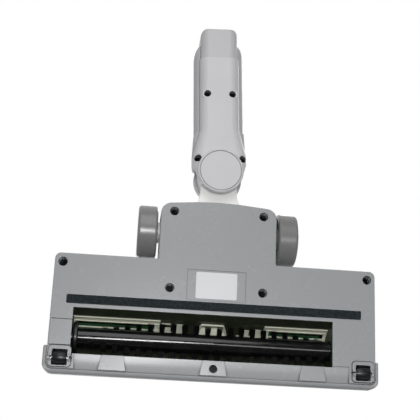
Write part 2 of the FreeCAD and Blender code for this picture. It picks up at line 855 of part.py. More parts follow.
def brush_flange(start, facing, radius):
    """Stepped end disc of the roll; facing is the direction of its outer side."""
    hub_end = flange_thick + flange_hub
    steps = [
        (0, axle_r + RUNNING), (0, radius), (0.6 * flange_thick, radius), (flange_thick, radius - 1.2),
        (flange_thick, flange_hub_r), (hub_end, flange_hub_r), (hub_end, axle_r + RUNNING),
    ]
    return turned_x([(start + facing * x, r) for x, r in steps], along(brush_depth), brush_z)


def pulley(radius, bore, y, z):
    half = belt_width / 2 + 0.4
    rim = radius + pulley_rim
    edge = half + pulley_rim_width
    return turned_x([
        (belt_x - edge, bore), (belt_x - edge, rim), (belt_x - half, rim), (belt_x - half, radius),
        (belt_x + half, radius), (belt_x + half, rim), (belt_x + edge, rim), (belt_x + edge, bore),
    ], y, z)


def belt_loop(grow):
    """Outline of the belt round both pulleys in Y and Z, grown by a distance."""
    y1, z1, r1 = along(brush_depth), brush_z, brush_pulley_r + grow
    y2, z2, r2 = along(motor_depth), motor_z, motor_pulley_r + grow
    span = math.hypot(y2 - y1, z2 - z1)
    rise = math.atan2(z2 - z1, y2 - y1)
    tilt = math.acos((r1 - r2) / span)

    def at(y, z, r, angle):
        return V(0, y + r * math.cos(angle), z + r * math.sin(angle))

    top, bottom = rise + tilt, rise - tilt
    edges = [
        Part.Arc(at(y1, z1, r1, top), at(y1, z1, r1, rise + math.pi), at(y1, z1, r1, bottom)).toShape(),
        Part.LineSegment(at(y1, z1, r1, bottom), at(y2, z2, r2, bottom)).toShape(),
        Part.Arc(at(y2, z2, r2, bottom), at(y2, z2, r2, rise), at(y2, z2, r2, top)).toShape(),
        Part.LineSegment(at(y2, z2, r2, top), at(y1, z1, r1, top)).toShape(),
    ]
    return Part.Face(Part.Wire(edges))


def drive_belt():
    loop = belt_loop(CLEAR + belt_thick).cut([belt_loop(CLEAR)])
    solid = loop.extrude(V(belt_width, 0, 0))
    solid.translate(V(belt_x - belt_width / 2, 0, 0))
    return solid


def bush(start, end):
    y = along(brush_depth)
    return rod_x(bush_r, start, end, y, brush_z).cut([rod_x(axle_r + RUNNING, start - 1, end + 1, y, brush_z)])


def end_cap():
    """Panel with a bottom leaf, a side leaf and the housing of the brush bearing."""
    y = along(brush_depth)
    low, high = along(cap_front) + cap_joint, along(cap_rear) - cap_joint
    section = [
        (window_plus, sole_z, 0),
        (head_half, sole_z, 1.0),
        (head_half, cap_height - FIT, 0.6),
        (head_half - shell_wall, cap_height - FIT, 0),
        (head_half - shell_wall, sole_top, 0.6),
        (window_plus, sole_top, 0),
    ]
    panel = lengthwise(section, low, high)
    housing = rod_x(housing_r, window_plus + cap_inner_gap, head_half - 1, y, brush_z)
    web = block(window_plus + 4, head_half - 1, y - 1, y + 1, sole_top - 0.5, brush_z)
    pocket = rod_x(bush_r, window_plus, window_plus + cap_inner_gap + bush_length, y, brush_z)
    axle_room = rod_x(axle_r + 0.5, window_plus, window_plus + bush_length + 8, y, brush_z)
    return joined(panel, housing, web).cut([pocket, axle_room])


# Motor
def motor_can():
    y = along(motor_depth)
    end = motor_front + motor_length - motor_bell
    can = turned_x([
        (motor_front, 0), (motor_front, motor_r - 1.0), (motor_front + 1.0, motor_r), (end, motor_r), (end, 0),
    ], y, motor_z)
    nose = rod_x(motor_nose_r, motor_front - motor_nose, motor_front + 1, y, motor_z)
    bore = rod_x(shaft_r + RUNNING, motor_front - 5, motor_front + shaft_in_motor + 1, y, motor_z)
    return joined(can, nose).cut([bore])


def motor_bell_end():
    y = along(motor_depth)
    end = motor_front + motor_length
    bell = turned_x([
        (end - motor_bell, 0), (end - motor_bell, motor_r - 0.4), (end - 1.5, motor_r - 0.4),
        (end, motor_r - 2.0), (end, 3.4), (end + 1.5, 3.4), (end + 1.5, 0),
    ], y, motor_z)
    tags = [block(end - 0.5, end + 4, y + side * 6 - 0.4, y + side * 6 + 0.4, motor_z - 1.5, motor_z + 1.5)
            for side in (-1, 1)]
    return joined(bell, *tags)


def motor_clamp():
    """Bridge over the motor, hooked down to both cradle ribs."""
    y = along(motor_depth)
    inner = motor_r + CLEAR
    outer = inner + clamp_wall
    centre = motor_front + (motor_length - motor_bell) / 2
    half = clamp_length / 2
    band = rod_x(outer, centre - half, centre + half, y, motor_z).cut([
        rod_x(inner, centre - half - 1, centre + half + 1, y, motor_z),
        block(-200, 0, y - 40, y + 40, 0, motor_z)])
    legs = [block(centre - half, centre + half, y + side * (inner + outer) / 2 - clamp_wall / 2,
                  y + side * (inner + outer) / 2 + clamp_wall / 2, sole_top, motor_z + 0.5) for side in (-1, 1)]
    feet = [block(centre - half, centre + half, y + side * (inner + clamp_foot / 2) - clamp_foot / 2,
                  y + side * (inner + clamp_foot / 2) + clamp_foot / 2, sole_top, sole_top + clamp_wall)
            for side in (-1, 1)]
    return joined(band, *legs, *feet)


# Wheels and rollers
def rear_wheel(side):
    y = along(wheel_depth)
    inner, outer = wheel_inner, wheel_outer
    rim = wheel_r - 3.2
    profile = [
        (inner, wheel_axle_r + RUNNING), (inner, 9.6), (inner + 5.5, 9.6), (inner + 5.5, rim), (inner, rim),
        (inner, wheel_r - wheel_round), (inner + wheel_round * 0.3, wheel_r - wheel_round * 0.3),
        (inner + wheel_round, wheel_r), (outer - wheel_round, wheel_r),
        (outer - wheel_round * 0.3, wheel_r - wheel_round * 0.3), (outer, wheel_r - wheel_round),
        (outer, rim), (outer - 1.2, rim - 1.2), (outer - 1.2, wheel_axle_head_r + 1.8),
        (outer - 2.6, wheel_axle_head_r + 1.0), (outer - 2.6, wheel_axle_r + RUNNING),
    ]
    return turned_x([(side * x, r) for x, r in profile], y, axis_z)


def wheel_axle(side):
    y = along(wheel_depth)
    head = wheel_outer - 2.6 + CLEAR
    profile = [
        (axle_start, 0), (axle_start, wheel_axle_r - axle_tip), (axle_start + axle_tip, wheel_axle_r),
        (head, wheel_axle_r),
        (head, wheel_axle_head_r), (head + 1.4, wheel_axle_head_r - 0.5), (head + 1.8, wheel_axle_head_r - 2.0),
        (head + 1.8, 0),
    ]
    return turned_x([(side * x, r) for x, r in profile], y, axis_z)


def front_roller(side):
    """Crowned roller: an arc between two slightly smaller ends, bored for its pin."""
    half = roller_width / 2
    bore = roller_pin_r + RUNNING
    low = roller_r - roller_crown
    corners = [V(-half, bore, 0), V(-half, low, 0), V(half, low, 0), V(half, bore, 0)]
    edges = [
        Part.LineSegment(corners[0], corners[1]).toShape(),
        Part.Arc(corners[1], V(0, roller_r, 0), corners[2]).toShape(),
        Part.LineSegment(corners[2], corners[3]).toShape(),
        Part.LineSegment(corners[3], corners[0]).toShape(),
    ]
    solid = Part.Face(Part.Wire(edges)).revolve(V(0, 0, 0), X_AXIS, 360)
    solid.translate(V(side * roller_x, along(roller_depth), roller_r))
    return solid


def roller_pins():
    y = along(roller_depth)
    pin = rod_x(roller_pin_r, roller_x - roller_pin_half, roller_x + roller_pin_half, y, roller_r)
    return Part.makeCompound(both_sides(pin))


# Screws
def screw(x, y, seat, length):
    """Pan-head screw driven upwards, its head under the seat level, with a cross recess."""
    head = rod_z(screw_head_r, seat - screw_head, seat, x, y)
    shank = rod_z(screw_shank_r, seat, seat + length, x, y)
    cross = [block(x - a, x + a, y - b, y + b, seat - screw_head - 1, seat - screw_head + 0.9)
             for a, b in ((1.6, 0.35), (0.35, 1.6))]
    return joined(head, shank).cut(cross)


def sole_screws():
    screws = [screw(x, y, screw_head_z, screw_floor + screw_grip - 1) for x, y in sole_screw_places()]
    screws.append(screw(0, along(front_screw_depth), screw_head_z, screw_floor + front_screw_grip - 1))
    return Part.makeCompound(screws)


# Pivot arm between the head and the tube
def pivot_arm():
    y = along(wheel_depth)
    swivel_y = along(swivel_depth)
    barrel = rod_x(barrel_r, -barrel_half, barrel_half, y, axis_z)
    trunnions = rod_x(trunnion_r, -trunnion_end, trunnion_end, y, axis_z)
    arm = upright([
        (-barrel_half, y, 0),
        (barrel_half, y, 0),
        (barrel_half, along(neck_end - flare_before), flare_round),
        (arm_half, along(neck_end + flare_behind), flare_round),
        (arm_half, swivel_y, 0),
        (-arm_half, swivel_y, 0),
        (-arm_half, along(neck_end + flare_behind), flare_round),
        (-barrel_half, along(neck_end - flare_before), flare_round),
    ], arm_low, arm_high)
    lug = rod_z(lug_r, arm_low, arm_high, 0, swivel_y)
    body = joined(barrel, trunnions, arm, lug)
    bore = rod_x(barrel_r - barrel_wall, -barrel_half + barrel_wall, barrel_half - barrel_wall, y, axis_z)
    channel = block(-channel_half, channel_half, y, swivel_y, arm_low + arm_wall, arm_high - arm_wall)
    outlet = block(-air_half, air_half, swivel_y, swivel_y + lug_r + 1, arm_low + arm_wall, arm_high - arm_wall)
    inlet = block(-duct_half + 2.5, duct_half - 2.5, y - barrel_r - 1, y, axis_z - 8, axis_z + 9)
    hub_hole = rod_z(hub_r, arm_low - 1, arm_high + 1, 0, swivel_y)
    pin_holes = [rod_x(wheel_axle_r + 0.02, side * (axle_start - axle_tip), side * (trunnion_end + 1), y, axis_z)
                 for side in (1, -1)]
    return body.cut([bore, channel, outlet, inlet, hub_hole, *pin_holes])


# Connector tube, modelled about the swivel axis with +Y along the tube
def channel_section(half, low, corner):
    """Section of the lower shell in X and Z, open-ended upwards at the split."""
    return [(-half, low, corner), (half, low, corner), (half, split_z, 0), (-half, split_z, 0)]


def upper_section(half, inset=0.0):
    half -= inset
    low, high = lip_z + inset, tube_high - inset
    return [(-half, low, lip_round - inset), (half, low, lip_round - inset),
            (half, high, upper_round - inset), (-half, high, upper_round - inset)]


def wing_plan(rear_half, grow=0.0):
    """Outline of the two wings beside the swivel, flaring out of the sides of the tube."""
    half = wing_half + grow
    nose_half, nose = wing_nose[0] + grow, wing_nose[1] - grow
    right = [(rear_half + grow, wing_rear, 0), (half, wing_start, 2 * wing_round),
             (half, wing_front, wing_round), (nose_half, nose, wing_round)]
    return right + [(-x, y, r) for x, y, r in reversed(right)]


def section_at(corners, y):
    """Wire of (x, z, radius) corners standing across the tube at a place along it."""
    wire = outline(corners)
    wire.rotate(V(0, 0, 0), X_AXIS, 90)
    wire.translate(V(0, y, 0))
    return wire


def tube_lower_shell():
    section = channel_section(lower_half, tube_low, lower_corner)
    wing_section = channel_section(wing_half, tube_low, wing_corner)
    channel = lengthwise(section, 0, step_line)
    flare = Part.makeLoft([section_at(section, wing_rear), section_at(wing_section, wing_start)], True, True)
    front = lengthwise(wing_section, wing_nose[1] - 1, wing_start)
    wings = joined(flare, front).common([upright(wing_plan(lower_half), 0, split_z)])
    yoke_top = arm_low - CLEAR
    yoke = turned_z([(0, tube_low), (yoke_face_r, tube_low), (yoke_low_r, yoke_top), (0, yoke_top)])
    hollow = lengthwise(channel_section(lower_half - tube_wall, tube_low + tube_wall, lower_inner_corner),
                        yoke_r, step_line + 1)
    inner_half = lower_half - tube_wall
    roof_room = block(-inner_half, inner_half, yoke_r, step_line + 1, split_z - 1, split_z + 1)
    lug_room = rod_z(lug_r + CLEAR, arm_low - CLEAR, 60)
    front_room = block(-50, 50, -50, collar_start, arm_low - CLEAR, 60)
    hub = rod_z(hub_r - RUNNING, tube_low + 1, arm_high + CLEAR)
    hub_bore = rod_z(hub_r - hub_wall, tube_low + tube_wall, arm_high + 5)
    window_half = air_half - air_window_inset
    air_way = block(-window_half, window_half, -hub_r - 1, hub_r + 1, arm_low + arm_wall, arm_high - arm_wall)
    bosses = [rod_z(tube_counterbore_r + tube_boss_wall, tube_low + 1, split_z, side * mid_screw_half, mid_screw)
              for side in (1, -1)]
    body = joined(channel, yoke, wings).cut([hollow, roof_room, lug_room, front_room])
    body = joined(body, hub, *bosses)
    cuts = [hub_bore, air_way]
    for side in (1, -1):
        cuts.append(rod_z(tube_counterbore_r, 0, tube_low + tube_counterbore, side * mid_screw_half, mid_screw))
        cuts.append(rod_z(tube_screw_r + RUNNING, 0, 60, side * mid_screw_half, mid_screw))
        cuts.append(rod_z(ear_counterbore_r, 0, ear_seat, side * ear_screw_half, ear_screw))
        cuts.append(rod_z(tube_screw_r + RUNNING, 0, 60, side * ear_screw_half, ear_screw))
    return body.cut(cuts)


def tube_upper_shell():
    plan = upright([
        (-upper_half, collar_start, 0),
        (upper_half, collar_start, 0),
        (upper_half, shoulder + shoulder_lead, shoulder_round),
        (-upper_half, shoulder + shoulder_lead, shoulder_round),
    ], 0, 60).cut([block(-50, 50, shoulder, 200, 0, 60)])
    outer = lengthwise(upper_section(upper_half), collar_start, shoulder).common([plan])
    wings = lengthwise(upper_section(wing_half), collar_start, wing_rear)
    wings = wings.common([upright(wing_plan(upper_half - FIT), 0, 60)])
    inner = lengthwise(upper_section(upper_half, tube_wall), collar_start - 1, shoulder - tube_wall)
    channel_room = lengthwise([
        (-lower_half - FIT, 0, 0), (lower_half + FIT, 0, 0),
        (lower_half + FIT, split_z + FIT, 0), (-lower_half - FIT, split_z + FIT, 0),
    ], 0, step_line + FIT)
    wing_room = upright(wing_plan(lower_half, FIT), 0, split_z + FIT)
    body = joined(outer, wings).cut([inner, channel_room, wing_room])
    top_plate = rod_z(yoke_r, arm_high + CLEAR, tube_high)
    posts = [rod_z(r, split_z + FIT, tube_high - 1, side * x, y)
             for r, x, y in ((ear_post_r, ear_screw_half, ear_screw), (mid_post_r, mid_screw_half, mid_screw))
             for side in (1, -1)]
    body = joined(body, top_plate, *posts)
    spigot_room = lengthwise(spigot_section(-FIT), step_line - tenon, shoulder + 1)
    lug_room = rod_z(lug_r + CLEAR, 0, arm_high + CLEAR)
    hub_seat = rod_z(hub_r + FIT, 0, arm_high + CLEAR)
    pilots = [rod_z(tube_screw_r + RUNNING, 0, tube_high - pilot_cover, side * x, y)
              for x, y in ((mid_screw_half, mid_screw), (ear_screw_half, ear_screw)) for side in (1, -1)]
    return body.cut([spigot_room, lug_room, hub_seat, *pilots]).removeSplitter()


def spigot_section(inset):
    half = spigot_half - inset
    return [(-half, spigot_low + inset, spigot_round - inset), (half, spigot_low + inset, spigot_round - inset),
            (half, spigot_high - inset, spigot_round - inset), (-half, spigot_high - inset, spigot_round - inset)]


def spigot_pipe():
    """Open pipe that plugs into the wand, with a narrower root held inside the lower shell."""
    plan = upright([
        (-spigot_half, step_line, 0), (spigot_half, step_line, 0),
        (spigot_half, tip, tip_round), (-spigot_half, tip, tip_round),
    ], 0, 60)
    outer = lengthwise(spigot_section(0), step_line + FIT, tip).common([plan])
    root_half = lower_half - tube_wall - FIT
    root = lengthwise([
        (-root_half, tube_low + tube_wall + FIT, 4.0), (root_half, tube_low + tube_wall + FIT, 4.0),
        (root_half, spigot_high, 4.0), (-root_half, spigot_high, 4.0),
    ], step_line - tenon, step_line + 2)
    bore = lengthwise([
        (-root_half + spigot_wall, spigot_low + 3.9, 3.0), (root_half - spigot_wall, spigot_low + 3.9, 3.0),
        (root_half - spigot_wall, spigot_high - spigot_wall, 3.0),
        (-root_half + spigot_wall, spigot_high - spigot_wall, 3.0),
    ], step_line - tenon - 1, tip + 1)
    return joined(outer, root).cut([bore])


def swivel_disc(base, facing):
    """Round cover with a ring groove; facing is the direction of its outer side."""
    steps = [(0, 0), (disc_r, 0), (disc_r, disc_thick - 0.8), (disc_r - 0.8, disc_thick),
             (groove_r + groove, disc_thick), (groove_r + groove, disc_thick - groove),
             (groove_r, disc_thick - groove), (groove_r, disc_thick), (0, disc_thick)]
    return turned_z([(r, base + facing * z) for r, z in steps])


def tube_screws():
    screws = []
    for side in (1, -1):
        seat = tube_low + tube_counterbore
        screws.append(small_screw(side * mid_screw_half, mid_screw, seat, tube_counterbore_r))
        screws.append(small_screw(side * ear_screw_half, ear_screw, ear_seat, ear_counterbore_r))
    return Part.makeCompound(screws)


def small_screw(x, y, seat, room):
    head = rod_z(room - 0.5, seat - 1.5, seat, x, y)
    shank = rod_z(tube_screw_r, seat, split_z + tube_screw_grip, x, y)
    cross = [block(x - a, x + a, y - b, y + b, seat - 2.5, seat - 0.8) for a, b in ((1.3, 0.3), (0.3, 1.3))]
    return joined(head, shank).cut(cross)


def contact_block():
    high = spigot_high - spigot_wall
    end = tip - contact_set_back
    return block(-contact_half, contact_half, end - contact_length, end, high - contact_high, high - 0.02)


def contact_pins():
    z = spigot_high - spigot_wall - contact_high / 2
    end = tip - contact_set_back
    pins = [Part.makeCylinder(contact_pin_r, contact_pin_length, V(side * contact_half / 2, end, z), V(0, 1, 0))
            for side in (1, -1)]
    return Part.makeCompound(pins)


def build():
    os.makedirs("parts", exist_ok=True)
    print(f"overall length {overall:.3f}")
    print(f"wheel axis y {along(wheel_depth):.3f}, swivel y {along(swivel_depth):.3f}")
    print(f"brush y {along(brush_depth):.3f}, motor y {along(motor_depth):.3f}, roller y {along(roller_depth):.3f}")
    save("sole_plate", sole_plate())
    save("top_shell", top_shell())
    save("front_bumper", front_bumper())
    save("brush_chamber", brush_chamber())
    save("lens_frames", lens_frames())
    save("viewing_window", viewing_window())
    save("suction_duct", suction_duct())
    save("felt_strip", upright(rectangle(-felt_half, felt_half, along(felt_front), along(felt_rear), 1.0),
                               sole_z - felt_proud, sole_z + felt_sunk))
    save("rating_label", upright(rectangle(-label_half, label_half, along(label_front),
                                           along(label_front + label_length), 1.2),
                                 sole_z + recess_deep - label_thick, sole_z + recess_deep))
    save("sole_screws", sole_screws())
    save("brush_core", brush_core())
    save("brush_tufts", brush_tufts())
    save("brush_flange_cap_side", brush_flange(brush_plus, 1, flange_r))
    save("brush_flange_drive_side", brush_flange(brush_minus, -1, drive_flange_r))
    save("brush_axle", rod_x(axle_r, drive_bush_x - bush_length / 2, window_plus + bush_length,
                             along(brush_depth), brush_z))
    save("brush_pulley", pulley(brush_pulley_r, axle_r + 0.02, along(brush_depth), brush_z))
    save("drive_bush", bush(drive_bush_x - bush_length / 2, drive_bush_x + bush_length / 2))
    save("end_cap", end_cap())
    save("cap_bush", bush(window_plus + 0.8, window_plus + cap_inner_gap + bush_length))
    save("drive_belt", drive_belt())
    save("motor_can", motor_can())
    save("motor_end_bell", motor_bell_end())
    save("motor_clamp", motor_clamp())
    save("motor_shaft", rod_x(shaft_r, belt_x - belt_width / 2 - 2, motor_front + shaft_in_motor,
                              along(motor_depth), motor_z))
    save("motor_pulley", pulley(motor_pulley_r, shaft_r + 0.02, along(motor_depth), motor_z))
    for side, name in ((1, "left"), (-1, "right")):
        save(f"rear_wheel_{name}", rear_wheel(side))
        save(f"wheel_axle_{name}", wheel_axle(side))
        save(f"front_roller_{name}", front_roller(side))
    save("roller_pins", roller_pins())
    save("pivot_arm", pivot_arm())
    save("tube_lower_shell", on_tube(tube_lower_shell()))
    save("tube_upper_shell", on_tube(tube_upper_shell()))
    save("spigot_pipe", on_tube(spigot_pipe()))
    save("swivel_cap_below", on_tube(swivel_disc(tube_low, -1)))
    save("swivel_cap_above", on_tube(swivel_disc(tube_high, 1)))
    save("tube_screws", on_tube(tube_screws()))
    save("contact_block", on_tube(contact_block()))
    save("contact_pins", on_tube(contact_pins()))


build()
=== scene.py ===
"""Floor brush of a stick vacuum cleaner, seen from below as photographed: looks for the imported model."""

import math
import random

import bpy
from mathutils import Matrix, Vector


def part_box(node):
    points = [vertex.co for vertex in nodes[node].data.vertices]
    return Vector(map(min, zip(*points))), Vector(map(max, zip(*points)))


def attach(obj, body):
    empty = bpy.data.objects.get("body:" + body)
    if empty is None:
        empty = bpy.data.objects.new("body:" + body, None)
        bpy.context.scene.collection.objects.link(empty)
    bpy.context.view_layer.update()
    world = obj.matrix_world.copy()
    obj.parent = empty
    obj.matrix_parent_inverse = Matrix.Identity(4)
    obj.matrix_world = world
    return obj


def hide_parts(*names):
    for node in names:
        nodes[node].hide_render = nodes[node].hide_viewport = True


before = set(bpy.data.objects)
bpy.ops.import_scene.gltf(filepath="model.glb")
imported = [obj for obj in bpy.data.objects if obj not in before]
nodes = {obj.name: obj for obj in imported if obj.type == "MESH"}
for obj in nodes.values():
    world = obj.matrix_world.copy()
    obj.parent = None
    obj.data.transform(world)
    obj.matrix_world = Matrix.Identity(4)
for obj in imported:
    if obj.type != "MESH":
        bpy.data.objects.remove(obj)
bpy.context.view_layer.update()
MM = 0.001


# Camera: under the floor, looking up at the sole, as the brush was turned over for the photograph. Its
# focal length, its place and the directions of the picture's right and bottom edge were fitted to the
# outline of the sole.
photo_side = 420
focal_pixels = 900
sensor = 36.0
nearest_seen = 0.01
camera_place = Vector((66.7, -214.4, -677.6)) * MM
camera_right = Vector((-0.9942, 0.0419, -0.0986))
camera_down = Vector((-0.0678, -0.9586, 0.2764))

right = camera_right.normalized()
back = right.cross(-camera_down).normalized()
up = back.cross(right)
camera_data = bpy.data.cameras.new("photo_camera")
camera_data.sensor_width = sensor
camera_data.lens = sensor * focal_pixels / photo_side
camera_data.clip_start = nearest_seen
camera = bpy.data.objects.new("photo_camera", camera_data)
camera.matrix_world = Matrix((
    (right.x, up.x, back.x, camera_place.x),
    (right.y, up.y, back.y, camera_place.y),
    (right.z, up.z, back.z, camera_place.z),
    (0, 0, 0, 1),
))
bpy.context.scene.collection.objects.link(camera)
bpy.context.scene.camera = camera
bpy.context.scene.view_settings.view_transform = "Standard"


# Studio: white paper behind the part, soft boxes over and under it and a dim room around, so that sides
# fall off in tone. Two small lamps beside the camera draw the line on the roll and the shine on the front
# lip.
def linear(colour):
    """Linear RGBA of an sRGB hex colour."""
    channels = [int(colour[i:i + 2], 16) / 255 for i in (1, 3, 5)]
    return tuple(c / 12.92 if c <= 0.04045 else ((c + 0.055) / 1.055) ** 2.4 for c in channels) + (1.0,)


def add(tree, kind, values=(), **settings):
    """Adds a shader node with its settings, and sets or links the inputs named in values."""
    made = tree.nodes.new("ShaderNode" + kind)
    for name, value in settings.items():
        setattr(made, name, value)
    for key, value in dict(values).items():
        socket = made.inputs[key] if isinstance(key, int) else next(
            s for s in made.inputs if key in (s.name, s.identifier))
        if isinstance(value, bpy.types.NodeSocket):
            tree.links.new(value, socket)
        else:
            socket.default_value = value
    return made


# The world shines most along one steep axis, from above and from below. A mirror sees the dim room below
# the horizon and white paper above it, and the camera sees white paper all round.
room_light = 0.10
box_light = 1.03
box_focus = 6.0
box_axis = Vector((0.22, 0.40, -0.90)).normalized()
room_in_mirror = 0.10
paper_in_mirror = 1.0
mirror_low, mirror_high = -0.35, 0.15
paper_seen = 1.0
world = bpy.data.worlds.new("white_studio")
world.use_nodes = True
tree = world.node_tree
tree.nodes.clear()
rays = add(tree, "LightPath")
seen = add(tree, "Math", {0: rays.outputs["Is Camera Ray"], 1: rays.outputs["Is Transmission Ray"]},
           operation="MAXIMUM")
around = add(tree, "TexCoord").outputs["Generated"]
height = add(tree, "SeparateXYZ", {0: around}).outputs["Z"]
along = add(tree, "VectorMath", {0: around, 1: box_axis}, operation="DOT_PRODUCT").outputs["Value"]
steep = add(tree, "Math", {0: along}, operation="ABSOLUTE")
focus = add(tree, "Math", {0: steep.outputs[0], 1: box_focus}, operation="POWER")
light = add(tree, "Math", {0: focus.outputs[0], 1: box_light, 2: room_light}, operation="MULTIPLY_ADD")
mirror = add(tree, "MapRange", {"Value": height, "From Min": mirror_low, "From Max": mirror_high,
                                "To Min": room_in_mirror, "To Max": paper_in_mirror})
level = add(tree, "Mix", {"Factor_Float": rays.outputs["Is Glossy Ray"], "A_Float": light.outputs[0],
                          "B_Float": mirror.outputs[0]})
level = add(tree, "Mix", {"Factor_Float": seen.outputs[0], "A_Float": level.outputs[0],
                          "B_Float": paper_seen})
white = add(tree, "Background", {"Color": linear("#FFFFFF"), "Strength": level.outputs[0]})
add(tree, "OutputWorld", {"Surface": white.outputs[0]})
bpy.context.scene.world = world


def lamp(name, place, aim, size, power):
    """Area lamp at a place in metres, turned to its aim; its size is in metres too, its power in watts."""
    data = bpy.data.lights.new(name, "AREA")
    data.shape = "ELLIPSE"
    data.size, data.size_y = size
    data.energy = power
    made = bpy.data.objects.new(name, data)
    made.location = place
    made.rotation_euler = (Vector(aim) - Vector(place)).to_track_quat("-Z", "Y").to_euler()
    bpy.context.scene.collection.objects.link(made)


roll_middle = (0.0, -0.08, 0.02)
sole_middle = (0.0, -0.05, 0.02)
whole_middle = (0.0, 0.0, 0.02)
lamp("beside_camera", (0.05, -0.13, -0.70), roll_middle, (0.11, 0.26), 2.0)
lamp("fill_beside_camera", (-0.15, -0.14, -0.70), roll_middle, (0.14, 0.34), 0.5)
lamp("under_table", (0.05, 0.62, -0.72), sole_middle, (0.5, 0.9), 2.4)
lamp("over_table", (0.35, -0.5, 1.1), whole_middle, (0.7, 0.7), 5.0)
lamp("over_back", (-0.45, 0.5, 0.9), whole_middle, (0.6, 0.6), 3.4)


# Table: a pale matt sheet that the wheels stand on, fading to white far off. Only a camera above it sees
# it, so that the sole can be photographed and lit from below.
def start_material(name):
    """New material with an empty tree, and the place on the object that its patterns are drawn from."""
    material = bpy.data.materials.new(name)
    material.use_nodes = True
    tree = material.node_tree
    tree.nodes.clear()
    return material, tree, add(tree, "TexCoord").outputs["Object"]


table_side = 8.0
table_mottle_mm = 100 / 3
table_glow = 0.17
table_glow_far = 1.0
glow_near, glow_far = 0.5, 2.0
half = table_side / 2
corners = [(-half, -half, 0), (half, -half, 0), (half, half, 0), (-half, half, 0)]
mesh = bpy.data.meshes.new("table")
mesh.from_pydata(corners, [], [(0, 1, 2, 3)])
table = bpy.data.objects.new("table", mesh)
bpy.context.scene.collection.objects.link(table)
material, tree, place = start_material("pale_table_sheet")
rays = add(tree, "LightPath")
face = add(tree, "NewGeometry")
above = add(tree, "Math", {0: 1.0, 1: face.outputs["Backfacing"]}, operation="SUBTRACT")
shown = add(tree, "Math", {0: above.outputs[0], 1: rays.outputs["Is Camera Ray"]}, operation="MULTIPLY")
mottle = add(tree, "TexNoise", {"Vector": place, "Scale": 1000 / table_mottle_mm, "Detail": 3.0})
tone = add(tree, "Mix", {"Factor_Float": mottle.outputs[0], "A_Color": linear("#EFEFEE"),
                         "B_Color": linear("#F4F4F3")}, data_type="RGBA")
matt = add(tree, "BsdfDiffuse", {"Color": tone.outputs[2]})
reach = add(tree, "VectorMath", {0: place}, operation="LENGTH")
fade = add(tree, "MapRange", {"Value": reach.outputs["Value"], "From Min": glow_near, "From Max": glow_far,
                              "To Min": table_glow, "To Max": table_glow_far})
glow = add(tree, "Emission", {"Color": tone.outputs[2], "Strength": fade.outputs[0]})
sheet = add(tree, "AddShader", {0: matt.outputs[0], 1: glow.outputs[0]})
clear = add(tree, "BsdfTransparent")
either = add(tree, "MixShader", {0: shown.outputs[0], 1: clear.outputs[0], 2: sheet.outputs[0]})
add(tree, "OutputMaterial", {"Surface": either.outputs[0]})
mesh.materials.append(material)


# Sole plate: mid-grey ABS, injection moulded in a spark-textured tool, scuffed by floors. The grain is
# far finer than the picture, so it is drawn 0.8 mm wide to show at all.
def shaded(colour, times):
    """Linear RGBA of an sRGB hex colour, made darker or paler."""
    return tuple(min(1.0, c * times) for c in linear(colour)[:3]) + (1.0,)


